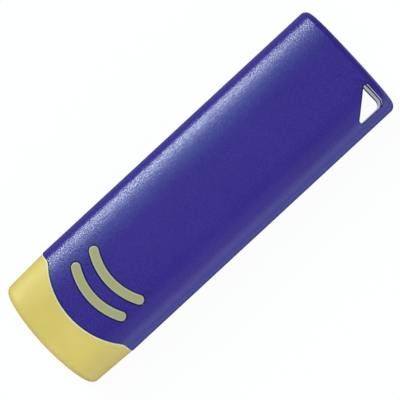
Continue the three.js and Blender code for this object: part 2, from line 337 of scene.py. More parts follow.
def hole_loop():
    """A triangle with rounded corners. Each corner's arc is centred where lines parallel to its
    two sides meet, and turns from one side's normal to the next one's."""
    end_x, side_y = CASE_END_X - HOLE_END_WALL, -(HALF_WIDTH - HOLE_SIDE_WALL)
    corners = np.array([
        [end_x, side_y], [end_x, side_y + HOLE_LEG_ACROSS], [end_x - HOLE_LEG_ALONG, side_y]
    ])
    rounds = [HOLE_SQUARE_ROUND, HOLE_SHARP_ROUND, HOLE_SHARP_ROUND]
    arcs = []
    for index, radius in enumerate(rounds):
        arriving = corners[index] - corners[index - 1]
        leaving = corners[(index + 1) % len(corners)] - corners[index]
        arriving, leaving = arriving / np.hypot(*arriving), leaving / np.hypot(*leaving)
        half_angle = (math.pi - math.acos(arriving @ leaving)) / 2
        inward = (leaving - arriving) / np.hypot(*(leaving - arriving))
        centre = corners[index] + inward * radius / math.sin(half_angle)
        start = math.atan2(-arriving[0], arriving[1])
        stop = math.atan2(-leaving[0], leaving[1])
        stop += 2 * math.pi if stop < start else 0
        arcs.append(arc_points(*centre, radius, start, stop))
    return closed_loop(arcs)


print("the lanyard hole has", len(hole_loop()), "points")

# %% [markdown]
# ## Rounded rims and filled sheets
# A mould leaves every edge a little round. Here a rounded rim is a few rings that leave the skin
# and turn down into the wall. The rest of the unrolled sheet is filled with triangles by a
# constrained Delaunay triangulation, which keeps the rings round every opening and takes its
# other points from an even grid. Boolean cuts could punch the openings too, but they leave
# slivers that spoil a rounded rim.

# %% Rounded rims and filled sheets
RIM_RINGS = 6
ROUND_STEPS = np.linspace(0, 1, RIM_RINGS)  # 0 is on the skin, 1 is on the wall
SLIVER = 1e-6 * MM ** 2  # a triangle with less than half of this area lies along a straight edge
FILL_TOLERANCE = 1e-7  # in millimetres, far less than the least distance of two points


def rounding(length):
    """A rounded rim as a quadratic curve between skin and wall: how far each ring stays back
    from the edge, length (1 - t)^2, and how far it sinks along the wall, length t^2."""
    return length * (1 - ROUND_STEPS) ** 2, length * ROUND_STEPS ** 2


def loop_normals(loop):
    """Outward unit normals of an anticlockwise flat loop, from its neighbours' difference."""
    tangent = np.roll(loop, -1, axis=0) - np.roll(loop, 1, axis=0)
    tangent /= np.linalg.norm(tangent, axis=1, keepdims=True)
    return np.stack([tangent[:, 1], -tangent[:, 0]], axis=1)


def inside_loop(points, loop):
    """Which flat points lie inside a loop: a ray to the right crosses it an odd number of times."""
    start, stop = loop, np.roll(loop, -1, axis=0)
    x, y = points[:, :1], points[:, 1:]
    spans = (start[:, 1] > y) != (stop[:, 1] > y)
    rise = stop[:, 1] - start[:, 1]
    safe = np.where(rise == 0, 1, rise)
    crossing = start[:, 0] + (y - start[:, 1]) / safe * (stop[:, 0] - start[:, 0])
    return (spans & (x < crossing)).sum(axis=1) % 2 == 1


def fill(points, loops, border, openings):
    """Triangles over flat points that keep every edge of the loops, inside the border and
    outside the openings, without slivers. Loops, border and openings are point numbers."""
    edges = [pair for loop in loops for pair in zip(loop.tolist(), np.roll(loop, -1).tolist())]
    flat = [Vector(point) for point in (points / MM).tolist()]
    _, _, faces, origins, _, _ = delaunay_2d_cdt(flat, edges, [], 0, FILL_TOLERANCE, True)
    first = np.array([origin[0] if origin else -1 for origin in origins])
    triangles = first[np.array(faces)]
    corners = points[triangles]
    side, other = (corners[:, 1:] - corners[:, :1]).transpose(1, 0, 2)
    middle = corners.mean(axis=1)
    keep = inside_loop(middle, points[border])
    keep &= np.abs(side[:, 0] * other[:, 1] - side[:, 1] * other[:, 0]) > SLIVER
    for opening in openings:
        keep &= ~inside_loop(middle, points[opening])
    return triangles[keep]


print("a rounded rim has", RIM_RINGS, "rings")

# %% [markdown]
# ## One closed shell for each piece
# A moulding is one solid body, so each piece is one closed mesh. It is gathered from patches and
# from strips between two rows of points, and welded where these meet. Each point also carries a
# mark, the attribute "rim", which tells the materials where a rounded rim or the wall of a cored
# hole is. Joining finished objects would be simpler, but would leave open seams between them.

# %% One closed shell for each piece
WELD = 1e-5 * MM  # points of two rows that meet are made the same to within this


class Shell:
    """Gathers the points and triangles of one closed piece. Side -1 mirrors what is added to
    the rear half."""

    def __init__(self):
        self.points, self.normals, self.rims, self.faces = [], [], [], []
        self.count, self.side = 0, 1

    def add(self, points, normals=None, rim=0.0):
        """Adds points and returns their numbers. Their true normals go in where these are known.
        Their mark is 1 on a rounded rim and -1 on the wall of a cored hole."""
        points = np.array(points, float).reshape(-1, 3)
        normals = np.zeros_like(points) if normals is None else np.array(normals, float).reshape(-1, 3)
        if self.side < 0:
            points[:, 2] = THICKNESS - points[:, 2]
            normals[:, 2] *= -1
        self.points.append(points)
        self.normals.append(normals)
        self.rims.append(np.broadcast_to(rim, len(points)))
        self.count += len(points)
        return np.arange(self.count - len(points), self.count)

    def strip(self, first, second, closed=False):
        """Two triangles between each pair of neighbours on two rows of equal length."""
        if closed:
            first, second = np.append(first, first[0]), np.append(second, second[0])
        lower = np.stack([first[:-1], first[1:], second[1:]], axis=1)
        upper = np.stack([first[:-1], second[1:], second[:-1]], axis=1)
        self.faces += [lower, upper]

    def make(self, name):
        """Welds points that lie together, drops triangles with no area and pairs that cover each
        other, turns the faces outwards and sets the true normals where they are known."""
        points, normals = np.concatenate(self.points), np.concatenate(self.normals)
        places = np.round(points / WELD).astype(np.int64)
        _, first, number = np.unique(places, axis=0, return_index=True, return_inverse=True)
        faces = number.ravel()[np.concatenate(self.faces)]
        faces = faces[(faces != np.roll(faces, 1, axis=1)).all(axis=1)]
        _, single, uses = np.unique(
            np.sort(faces, axis=1), axis=0, return_index=True, return_counts=True
        )
        faces = faces[single[uses == 1]]
        mesh = bpy.data.meshes.new(name)
        mesh.from_pydata(points[first].tolist(), [], faces.tolist())
        rim = mesh.attributes.new("rim", "FLOAT", "POINT")
        rim.data.foreach_set("value", np.concatenate(self.rims)[first].astype(np.float32))
        work = bmesh.new()
        work.from_mesh(mesh)
        bmesh.ops.recalc_face_normals(work, faces=work.faces)
        volume = work.calc_volume(signed=True)
        open_edges = sum(not edge.is_manifold for edge in work.edges)
        work.to_mesh(mesh)
        work.free()
        mesh.shade_smooth()
        mesh.normals_split_custom_set_from_vertices(normals[first].tolist())
        piece = bpy.data.objects.new(name, mesh)
        bpy.context.scene.collection.objects.link(piece)
        print(name, len(faces), "triangles", open_edges, "open edges", round(volume / MM ** 3), "mm3")
        return piece


print("points are welded within", round(WELD / MM, 6), "mm")

# %% [markdown]
# ## The grid of a patch
# A patch is half of a skin, front or rear. Its even grid runs from the rounded end to the mouth,
# and from one parting edge over the face to the other. Its last rows and columns are the rings
# of the rounded edges. A Bevel modifier would round them too, but it adds points of its own, and
# the strips that join two skins need rows of equal length.

# %% The grid of a patch
GRID_STEP = 0.3 * MM
HOLD = 0.08 * MM  # a last ring on the skin, which keeps the shading of a rim off the face
END_ROWS = 9


def ringed_columns(half_width, length):
    """Places round the section, even in the middle and ringed towards both edges."""
    back, _ = rounding(length)
    edge = half_width - np.append(back[::-1], length + HOLD)
    middle = np.linspace(-edge[-1], edge[-1], int(2 * edge[-1] / GRID_STEP))
    return np.concatenate([-edge[:-1], middle, edge[:-1][::-1]])


def edge_sink(count, length):
    """How far each of a number of rows sinks, with the edge at the first of them."""
    sink = np.zeros(count)
    sink[: len(ROUND_STEPS)] = rounding(length)[1][::-1]
    return sink


def edge_mark(count):
    """A mark of 1 on the rings of a rounded edge, among a number of rows that start with it."""
    return (np.arange(count) < len(ROUND_STEPS)).astype(float)


def patch_grid(skin, columns, shift, length, even_rows):
    """Flat grid of a patch, as (along, round) pairs: rows over the rounded end, even rows, and
    rings parallel to the mouth."""
    mouth = np.stack([to_mouth(skin, columns, shift), columns], axis=1)
    slope = np.gradient(mouth[:, 0], mouth[:, 1])
    away = np.stack([-np.ones_like(slope), slope], axis=1) / np.hypot(1, slope)[:, None]
    away[[0, -1], 1] = 0  # the outermost columns stay on the parting edge
    back, _ = rounding(length)
    rings = np.array([mouth + away * step for step in np.append(length + HOLD, back)])
    over_end = skin.corner * np.linspace(0, math.pi / 2, END_ROWS)
    end_rows = np.stack(np.broadcast_arrays(over_end[:, None], columns[None, :]), axis=-1)
    shares = np.linspace(0, 1, even_rows)[1:-1, None, None]
    even = end_rows[-1] + (rings[0] - end_rows[-1]) * shares
    return np.concatenate([end_rows, even, rings])


def rim_rings(length):
    """The rings round an opening in the skin, as (step away from the edge, drop below the skin,
    mark). The last one is the rim that the opening's wall starts from."""
    back, down = rounding(length)
    return [(length + HOLD, 0.0, 0.0)] + [(step, drop, 1.0) for step, drop in zip(back, down)]


print("the grid's step is", round(GRID_STEP / MM, 2), "mm")

# %% [markdown]
# ## A patch of skin
# The sheet of a patch is filled between its border and its openings. Grid points that lie too
# near an opening give way to the opening's own rings. The normals of the true skin are kept with
# the points, because they shade a smooth face better than normals averaged from triangles. The
# rims have none of their own, and Blender averages theirs.

# %% A patch of skin
def add_patch(shell, skin, grid, sink, mark, openings):
    """Adds one patch. Each opening is its plan loop and its rim rings. Returns the numbers of
    the grid's points, and of the points on each opening's rim."""
    flat, sink, mark = grid.reshape(-1, 2), sink.reshape(-1, 1), mark.ravel()
    rings, rim_places = [], []
    keep = np.ones(len(flat), bool)
    for loop, steps in openings:
        edge = np.stack(unrolled(skin, loop[:, 0], loop[:, 1]), axis=1)
        outward = loop_normals(edge)
        keep &= ~inside_loop(flat, edge + outward * (steps[0][0] + GRID_STEP / 2))
        rings += [(edge + outward * step, drop, ring_mark) for step, drop, ring_mark in steps]
        rim_places.append(len(rings) - 1)
    normals = skin_normals(skin, flat[:, 0], flat[:, 1])
    points = skin_points(skin, flat[:, 0], flat[:, 1]) - normals * sink
    numbers = np.full(len(flat), -1)
    numbers[keep] = shell.add(points[keep], np.where(sink > 0, 0, normals)[keep], mark[keep])
    first = numbers[keep][0]
    ring_numbers = [
        shell.add(
            skin_points(skin, ring[:, 0], ring[:, 1]) - [0, 0, drop],
            skin_normals(skin, ring[:, 0], ring[:, 1]) * (drop == 0),
            ring_mark,
        )
        for ring, drop, ring_mark in rings
    ]
    numbers = numbers.reshape(grid.shape[:2])
    border = np.concatenate([
        numbers[0, :-1], numbers[:-1, -1], numbers[-1, :0:-1], numbers[:0:-1, 0]
    ])
    rims = [ring_numbers[place] for place in rim_places]
    places = np.concatenate([flat[keep]] + [ring for ring, _, _ in rings])
    loops = [loop - first for loop in [border] + ring_numbers]
    triangles = fill(places, loops, loops[0], [rim - first for rim in rims])
    shell.faces.append(triangles + first)
    return numbers, rims


def edge_path(patch, end_rows):
    """Numbers of the points along a patch's parting edge: from the mouth along one side, across
    the end face and back along the other side."""
    return np.concatenate([
        patch[::-1, 0], end_rows[1:, 0], end_rows[-1, 1:-1], end_rows[:0:-1, -1], patch[:, -1]
    ])


print("grid points keep", round(GRID_STEP / 2 / MM, 2), "mm from an opening's rings")

# %% [markdown]
# ## The end face
# The lanyard end of the case and both ends of the block are closed by an upright face under the
# rounded edge. Its rows repeat the edge's own outline at less and less height, down to the
# parting line, so that it meets the patch point by point and needs no filling.

# %% The end face
END_FACE_ROWS = 9


def add_end_face(shell, skin, first_row, columns, column_sink, length):
    """Closes the rounded end of a patch down to the parting line: its first row, lowered in
    even shares of its height, and rounded at the last. Returns all the rows' numbers."""
    rim = skin_points(skin, np.zeros_like(columns), columns)
    outward = skin_normals(skin, np.zeros_like(columns), columns)
    floor_z = rim[0, 2]
    height = rim[:, 2].max() - floor_z
    back, down = rounding(length)
    even_shares = np.linspace(1, (length + HOLD) / height, END_FACE_ROWS + 1)[1:]
    shares = np.append(even_shares, back / height)
    drops = np.append(np.zeros(END_FACE_ROWS), down)
    rows = [first_row]
    for share, drop in zip(shares, drops):
        row = rim.copy()
        row[:, 2] = floor_z + (rim[:, 2] - floor_z) * share
        sink = np.maximum(drop, column_sink)[:, None]
        rows.append(shell.add(row - outward * sink, outward * (sink == 0), sink[:, 0] > 0))
        shell.strip(rows[-2], rows[-1])
    return np.array(rows)


print("an end face has", END_FACE_ROWS, "even rows")

# %% [markdown]
# ## The wall of the lanyard hole
# Each cover carries a part of the tube round the hole. The rear cover's part stands up into the
# front cover and is a hair narrower, so their joint is a fine dark step high up in the hole. The
# wall is made of rings from the rim down to the joint, round the edge there, over the foot of
# the tube and up its back. Each ring has as many points as the rim, so plain strips join them.

# %% The wall of the lanyard hole
PARTING_ROUND = 0.12 * MM
HOLE_ROUND = 0.14 * MM
HOLE_WALL_TOP = 1.5 * HOLE_ROUND  # the upright wall starts this far under the skin
HOLE_TUBE_WALL = 0.4 * MM
HOLE_JOINT_RISE = 1.86 * MM  # the joint of the two tubes lies this far over mid thickness
HOLE_LEDGE = 0.06 * MM  # the rear tube is this much narrower all round, so its top shows


def add_hole_tube(shell, loop, rim, inner_rim, floor_z):
    """The lanyard hole's wall from its rim down to the joint, a rounded edge there, the flat
    foot of the tube and the tube's back up to the inner skin."""
    away = -loop_normals(loop)
    back, down = rounding(PARTING_ROUND)
    under_rim = height_over(outside, loop[:, 0], loop[:, 1]) - HOLE_WALL_TOP
    row = shell.add(np.column_stack([loop, under_rim]), rim=-1.0)
    shell.strip(rim, row, closed=True)
    for up, out in zip(np.append(back, 0), np.append(down, HOLE_TUBE_WALL)):
        plan = loop + away * out
        height = np.full((len(plan), 1), floor_z + up)
        lower = shell.add(np.hstack([plan, height]), rim=1.0 if out > 0 else -1.0)
        shell.strip(row, lower, closed=True)
        row = lower
    shell.strip(row, inner_rim, closed=True)


print("the tubes meet", round((MIDDLE_Z + HOLE_JOINT_RISE) / MM, 2), "mm above the rear face")

# %% [markdown]
# ## The two covers
# On the real case each cover is injection moulded, with every outer edge broken by a small
# radius. The outer and inner skins share their grid, so a strip between their edges closes the
# mouth and the parting line. A Solidify modifier would give the wall too, but not the rounded
# rims on the outside alone. The rear cover is the front one mirrored, without windows and with
# the longer tube.

# %% The two covers
MOUTH_ROUND = 0.13 * MM
WINDOW_ROUND = 0.12 * MM
PARTING_GAP = 0.1 * MM
CASE_ROWS = 140


def make_cover(name, side, window_count):
    """One cover: outer and inner skins joined along the mouth, the parting edge and the walls
    of their openings."""
    shell = Shell()
    shell.side = side
    columns = ringed_columns(HALF_GIRTH - PARTING_GAP / 2, PARTING_ROUND)
    column_sink = edge_sink(len(columns), PARTING_ROUND)
    column_sink = column_sink + column_sink[::-1]
    grid = patch_grid(outside, columns, 0, MOUTH_ROUND, CASE_ROWS)
    sink = edge_sink(len(grid), MOUTH_ROUND)[::-1, None] + column_sink
    mark = np.maximum(edge_mark(len(grid))[::-1, None], column_sink > 0)
    hole = hole_loop()
    if side < 0:
        hole = hole + loop_normals(hole) * HOLE_LEDGE
    tube = hole - loop_normals(hole) * HOLE_TUBE_WALL
    windows = [window_loop(index, 0) for index in range(window_count)]
    openings = [(loop, rim_rings(WINDOW_ROUND)) for loop in windows]
    openings.append((hole, rim_rings(HOLE_ROUND)))
    outer, rims = add_patch(shell, outside, grid, sink, mark, openings)
    outer_end = add_end_face(shell, outside, outer[0], columns, column_sink, PARTING_ROUND)
    inner_grid = patch_grid(inside, columns, 0, MOUTH_ROUND, CASE_ROWS)
    inner_openings = [(loop, [(0.0, 0.0, 0.0)]) for loop in windows + [tube]]
    level = np.zeros_like(sink)
    inner, inner_rims = add_patch(shell, inside, inner_grid, level, level, inner_openings)
    inner_end = add_end_face(shell, inside, inner[0], columns, column_sink * 0, 0)
    shell.strip(outer[-1], inner[-1])
    shell.strip(edge_path(outer, outer_end), edge_path(inner, inner_end))
    for rim, inner_rim in zip(rims[:-1], inner_rims[:-1]):
        shell.strip(rim, inner_rim, closed=True)
    joint_z = MIDDLE_Z + side * HOLE_JOINT_RISE + PARTING_GAP / 2
    add_hole_tube(shell, hole, rims[-1], inner_rims[-1], joint_z)
    return shell.make(name)


front_case = make_cover("front_case", 1, WINDOW_COUNT)
rear_case = make_cover("rear_case", -1, 0)

# %% [markdown]
# ## The skins of the block
# The block is one moulding of soft compound: a tip that tapers a little towards its end, a tenon
# that the covers clamp, and two curved ribs that stand up into the windows. Its outside is made
# of the same skins as the case, set in by small amounts, so tip and case line up at the mouth.

# %% The skins of the block
TIP_INSET = 0.06 * MM
TIP_TAPER = 0.3 * MM
TIP_END_ARC = 38 * MM
TIP_CORNER = 0.94 * MM
TIP_EDGE = 0.44 * MM
TENON_INSET = 1.3 * MM
TENON_EDGE = 0.3 * MM
RIB_RECESS = 0.05 * MM

tip_skin = make_skin(TIP_END_X, -1, TIP_INSET, TIP_END_ARC, TIP_CORNER, TIP_EDGE, TIP_TAPER)
tenon_skin = make_skin(TENON_END_X, 1, TENON_INSET, END_ARC, TENON_EDGE, TENON_EDGE)
rib_skin = make_skin(TENON_END_X, 1, RIB_RECESS, END_ARC, TENON_EDGE, TENON_EDGE)
print("the tip lies", round(TIP_INSET / MM, 2), "mm below the case's skin at the mouth")

# %% [markdown]
# ## The ribs
# A rib is an upright wall that follows its window at a small clearance, with a rounded edge and
# a top that is crowned as the case is. Its rings start from a hole of the same outline in the
# tenon's patch, so that rib and tenon are one body, as they are in one moulding.

# %% The ribs
RIB_CLEARANCE = 0.04 * MM
RIB_ROUND = 0.14 * MM


def add_rib(shell, loop, foot):
    """One rib: its wall from the tenon up to a rounded edge, and its crowned top."""
    away = -loop_normals(loop)
    back, down = rounding(RIB_ROUND)
    row = foot
    for inward, drop in zip(np.append(back[::-1], RIB_ROUND + HOLD), np.append(down[::-1], 0)):
        plan = loop - away * inward
        top = height_over(rib_skin, plan[:, 0], plan[:, 1]) - drop
        upper = shell.add(np.column_stack([plan, top]), rim=inward <= RIB_ROUND)
        shell.strip(row, upper, closed=True)
        row = upper
    ring = np.arange(len(plan))
    shell.faces.append(fill(plan, [ring], ring, []) + row[0])


print("a rib is", round((WINDOW_WIDTH - 2 * RIB_CLEARANCE) / MM, 2), "mm wide")

# %% [markdown]
# ## The eraser block
# The tip's patch and the tenon's patch both end at the mouth's line, a small gap before the
# case, and a strip between them makes the shoulder that the case butts against. Both halves of
# the block are added to one shell, where they weld along mid thickness.

# %% The eraser block
MOUTH_GAP = 0.03 * MM
TIP_ROUND = 0.15 * MM
TIP_ROWS = 24
TENON_ROWS = 46


def make_block(name):
    """The whole block: the tip and the tenon, front and rear, and the ribs on the front."""
    shell = Shell()
    columns = np.linspace(-HALF_GIRTH, HALF_GIRTH, int(2 * HALF_GIRTH / GRID_STEP))
    level = np.zeros_like(columns)
    tip_grid = patch_grid(tip_skin, columns, MOUTH_GAP, TIP_ROUND, TIP_ROWS)
    tip_sink = edge_sink(len(tip_grid), TIP_ROUND)[::-1, None] + level
    tip_mark = edge_mark(len(tip_grid))[::-1, None] + level
    tenon_grid = patch_grid(tenon_skin, columns, MOUTH_GAP, TIP_ROUND, TENON_ROWS)
    ribs = [window_loop(index, RIB_CLEARANCE) for index in range(WINDOW_COUNT)]
    for side, loops in ((1, ribs), (-1, [])):
        shell.side = side
        tip, _ = add_patch(shell, tip_skin, tip_grid, tip_sink, tip_mark, [])
        add_end_face(shell, tip_skin, tip[0], columns, level, 0)
        feet = [(loop, [(0.0, 0.0, 0.0)]) for loop in loops]
        plain = np.zeros(tenon_grid.shape[:2])
        tenon, rims = add_patch(shell, tenon_skin, tenon_grid, plain, plain, feet)
        add_end_face(shell, tenon_skin, tenon[0], columns, level, 0)
        shell.strip(tip[-1], tenon[-1])
        for loop, foot in zip(loops, rims):
            add_rib(shell, loop, foot)
    return shell.make(name)


soft_block = make_block("soft_block")

# %% [markdown]
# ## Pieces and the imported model
# Each fine surface stands for the plain solid of the same piece. Nothing moves on this object, so
# every piece rides on the one body.

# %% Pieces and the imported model
for piece, node, finish in (
    (front_case, "front_cover", "front_case_plastic"),
    (rear_case, "rear_cover", "rear_case_plastic"),
    (soft_block, "eraser_block", "eraser_compound"),
):
    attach(piece, "root")
    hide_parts(node)
    print(piece.name, "stands for", node)

# %% [markdown]
# ## Material tools
# Materials are node trees over Object coordinates, so that grain has a real size in metres and
# stays on the surface from every side. These helpers add the few kinds of node that the finishes
# are made of. Constant values are set on the shader itself.

# %% Material tools
def linear(red, green, blue):
    """Scene colour from the 0 to 255 numbers of a picture, by the usual sRGB curve."""
    values = np.array([red, green, blue]) / 255
    curve = np.where(values <= 0.04045, values / 12.92, ((values + 0.055) / 1.055) ** 2.4)
    return (*curve.tolist(), 1.0)


def add_node(tree, kind, inputs=(), **settings):
    """A new node with its settings and inputs. An input is a value or another node's socket."""
    node = tree.nodes.new("ShaderNode" + kind)
    for key, value in settings.items():
        setattr(node, key, value)
    for key, value in dict(inputs).items():
        if isinstance(value, bpy.types.NodeSocket):
            tree.links.new(value, node.inputs[key])
        else:
            node.inputs[key].default_value = value
    return node


def noise(tree, place, scale, detail):
    """Noise between 0 and 1. Its lumps are about one over its scale across, in metres."""
    inputs = {"Vector": place, "Scale": scale, "Detail": detail}
    return add_node(tree, "TexNoise", inputs).outputs["Fac"]


def remap(tree, value, low, high, to_low, to_high):
    """A value stretched from one range to another and held inside it."""
    inputs = {"Value": value, 1: low, 2: high, 3: to_low, 4: to_high}
    return add_node(tree, "MapRange", inputs).outputs["Result"]


def math_node(tree, operation, one, two=0.0):
    """A Math node's result, for two values or sockets."""
    return add_node(tree, "Math", {0: one, 1: two}, operation=operation).outputs[0]


def blend(tree, share, one, two):
    """Colour between two colours by a share, which counts as 0 when it is less."""
    inputs = {"Factor": share, 6: one, 7: two}
    return add_node(tree, "Mix", inputs, data_type="RGBA").outputs[2]


print("a middle grey of 128 is", round(linear(128, 128, 128)[0], 3), "as a scene colour")

# %% [markdown]
# ## Grain, drift and rims
# Both materials of this object have a fine grain, a colour that drifts a little over
# millimetres, and another colour on their rounded rims: painted shade on the case, and a painted
# highlight on the block. One node group makes these for both, and each material puts in its own
# sizes and colours. Images could do it too, but they need unwrapped meshes and show their pixels
# up close.

# %% Grain, drift and rims
NOISE_SPREAD = (0.35, 0.65)  # noise seldom leaves this range
GRAIN_DETAIL = 3
DRIFT_DETAIL = 1
SURFACE_INPUTS = {
    "Grain Scale": "Float", "Drift Scale": "Float",
    "Color": "Color", "Deep Color": "Color", "Painted Rim Color": "Color",
}
SURFACE_OUTPUTS = {"Grain": "Float", "Drift": "Float", "Rim": "Float", "Color": "Color"}


def make_surface_group(name):
    """The shared group. Its colour drifts between the first two colours and is the third on
    rims, where the case paints a shade and the block a highlight. Grain, drift and the mark of
    rims come out too, for roughness and height."""
    group = bpy.data.node_groups.new(name, "ShaderNodeTree")
    for sockets, way in ((SURFACE_INPUTS, "INPUT"), (SURFACE_OUTPUTS, "OUTPUT")):
        for label, kind in sockets.items():
            group.interface.new_socket(label, in_out=way, socket_type="NodeSocket" + kind)
    given = group.nodes.new("NodeGroupInput").outputs
    place = add_node(group, "TexCoord").outputs["Object"]
    drift = noise(group, place, given["Drift Scale"], DRIFT_DETAIL)
    drift = remap(group, drift, *NOISE_SPREAD, 0, 1)
    rim = add_node(group, "Attribute", attribute_name="rim").outputs["Fac"]
    body = blend(group, drift, given["Color"], given["Deep Color"])
    results = {
        "Grain": noise(group, place, given["Grain Scale"], GRAIN_DETAIL),
        "Drift": drift,
        "Rim": rim,
        # the rims take the third colour: painted shade on the case, a painted highlight on the block
        "Color": blend(group, rim, body, given["Painted Rim Color"]),
    }
    last = group.nodes.new("NodeGroupOutput")
    for label, result in results.items():
        group.links.new(result, last.inputs[label])
    return group


surface_group = make_surface_group("grain_drift_and_painted_rims")


def new_material(name, grain_size, drift_size, colour, deep_colour, painted_rim_colour):
    """A material with a Principled shader and the shared group, which gets its sizes and
    colours. Returns the material, its tree, its shader and the group's outputs."""
    material = bpy.data.materials.new(name)
    material.use_nodes = True
    tree = material.node_tree
    surface = tree.nodes.new("ShaderNodeGroup")
    surface.node_tree = surface_group
    values = (1 / grain_size, 1 / drift_size, colour, deep_colour, painted_rim_colour)
    for label, value in zip(SURFACE_INPUTS, values):
        surface.inputs[label].default_value = value
    return material, tree, tree.nodes["Principled BSDF"], surface.outputs


def finish_material(tree, shader, colour, roughness, height, depth):
    """Wires what varies over the surface to the shader. A height of 1 is as high as the depth."""
    bump = add_node(tree, "Bump", {"Height": height, "Distance": depth})
    tree.links.new(colour, shader.inputs["Base Color"])
    tree.links.new(roughness, shader.inputs["Roughness"])
    tree.links.new(bump.outputs["Normal"], shader.inputs["Normal"])


print(surface_group.name, "has", len(surface_group.nodes), "nodes")

# %% [markdown]
# ## Moulded blue plastic
# The case is polypropylene from a finely spark-eroded mould, with a satin grain of a fraction of
# a millimetre. The grain varies the roughness more than the height: this breaks a highlight into
# specks and leaves the flat strip calm, where a deeper bump would look like leather. Under the
# grain lie the faint long waves of cooling plastic, and the colour drifts a little with the flow
# of the melt. The core that forms the lanyard hole is polished, so the hole's wall is smooth and
# shiny. The rounded rims are painted darker, as painted shade, because every edge of the case
# shows in the photograph as a thin dark line.

# %% Moulded blue plastic
GRAIN_SIZE = 0.22 * MM
GRAIN_CONTRAST = (0.42, 0.58)  # the noise is stretched from here to smooth and rough
GRAIN_ROUGHNESS = (0.15, 0.35)
WAVE_SIZE = 9 * MM
WAVE_SHARE = 0.4  # height of the waves as a share of the grain's
GRAIN_HEIGHT = 0.03 * MM
CORED_ROUGHNESS = 0.12
CASE_BLUE = linear(49, 24, 127)
CASE_BLUE_DEEP = linear(45, 21, 123)
# painted shade: every rounded rim of the case is darkened to a thin dark line
CASE_BLUE_RIM_SHADE = linear(8, 2, 62)

blue_plastic, tree, shader, surface = new_material(
    "blue_plastic", GRAIN_SIZE, WAVE_SIZE, CASE_BLUE, CASE_BLUE_DEEP, CASE_BLUE_RIM_SHADE
)
smooth = math_node(tree, "ABSOLUTE", surface["Rim"])
lump = math_node(tree, "SUBTRACT", surface["Grain"], 0.5)
lump = math_node(tree, "MULTIPLY", lump, remap(tree, smooth, 0, 1, 1, 0))
wave = math_node(tree, "MULTIPLY", surface["Drift"], WAVE_SHARE)
grainy = remap(tree, surface["Grain"], *GRAIN_CONTRAST, *GRAIN_ROUGHNESS)
roughness = remap(tree, smooth, 0, 1, grainy, CORED_ROUGHNESS)
height = math_node(tree, "ADD", lump, wave)
finish_material(tree, shader, surface["Color"], roughness, height, GRAIN_HEIGHT)
shader.inputs["IOR"].default_value = 1.49
shader.inputs["Specular IOR Level"].default_value = 0.5
for piece in (front_case, rear_case):
    piece.data.materials.append(blue_plastic)
print(blue_plastic.name, "has", len(tree.nodes), "nodes")

# %% [markdown]
# ## Eraser compound
# The block is a soft, slightly translucent elastomer. Light goes a little way into it, so its
# edges glow and its shadows stay warm. Inside the case it gets less light and takes some of the
# blue around it. This is painted shade, which makes the ribs in the windows a duller, greener
# yellow. Its rounded rims, at the mouth and round the ribs, are painted paler, as a painted
# highlight along each edge.

# %% Eraser compound
SOFT_GRAIN_SIZE = 0.25 * MM
CLOUD_SIZE = 4 * MM
SOFT_GRAIN_HEIGHT = 0.004 * MM
SOFT_ROUGHNESS = (0.48, 0.58)
# painted shade inside the case, growing over these distances
PAINTED_SHADE_FROM = (MOUTH_ARC - 0.2 * MM, MOUTH_ARC - 0.8 * MM)  # distances from the mouth arc's centre
TIP_YELLOW = linear(231, 200, 98)
TIP_YELLOW_DEEP = linear(226, 194, 92)
# painted highlight: a pale line along the tip's rounded rim at the mouth
TIP_RIM_HIGHLIGHT = linear(255, 240, 205)
# painted shade: the ribs in the windows, duller and greener for the light they don't get
RIB_SHADED_YELLOW = linear(173, 163, 104)
# painted highlight along the ribs' rounded rims
RIB_RIM_HIGHLIGHT = linear(190, 184, 162)

yellow_compound, tree, shader, surface = new_material(
    "yellow_compound", SOFT_GRAIN_SIZE, CLOUD_SIZE, TIP_YELLOW, TIP_YELLOW_DEEP, TIP_RIM_HIGHLIGHT
)
place = add_node(tree, "TexCoord").outputs["Object"]
level = add_node(tree, "VectorMath", {0: place, 1: (1, 1, 0)}, operation="MULTIPLY").outputs[0]
centre = (MOUTH_CENTRE_X, 0, 0)
distance = add_node(tree, "VectorMath", {0: level, 1: centre}, operation="DISTANCE")
# how much painted shade the compound gets inside the case
shade_in_case = remap(tree, distance.outputs["Value"], *PAINTED_SHADE_FROM, 0, 1)
# the ribs' painted shade, with a painted highlight on their rims
rib_shade_and_highlight = blend(tree, surface["Rim"], RIB_SHADED_YELLOW, RIB_RIM_HIGHLIGHT)
colour = blend(tree, shade_in_case, surface["Color"], rib_shade_and_highlight)
roughness = remap(tree, surface["Grain"], *NOISE_SPREAD, *SOFT_ROUGHNESS)
finish_material(tree, shader, colour, roughness, surface["Grain"], SOFT_GRAIN_HEIGHT)
shader.inputs["Subsurface Weight"].default_value = 0.15
shader.inputs["Subsurface Radius"].default_value = (1.0, 0.8, 0.3)
shader.inputs["Subsurface Scale"].default_value = 1.2 * MM
shader.inputs["IOR"].default_value = 1.46
shader.inputs["Specular IOR Level"].default_value = 0.7
soft_block.data.materials.append(yellow_compound)
print(yellow_compound.name, "has", len(tree.nodes), "nodes")

# %% [markdown]
# ## The floor
# The photograph has a white ground without a visible shadow. The white of this floor is mostly
# its own glow, which only the camera and reflections see, so that it puts no light on the
# object. In reflections it is darker near the object, as if in its shadow, in the foot of the
# lanyard hole, and on the +Y side, where the edge of the case is dark in the photograph. A
# brighter lamp on a white floor would give the white too, but would wash out the object.

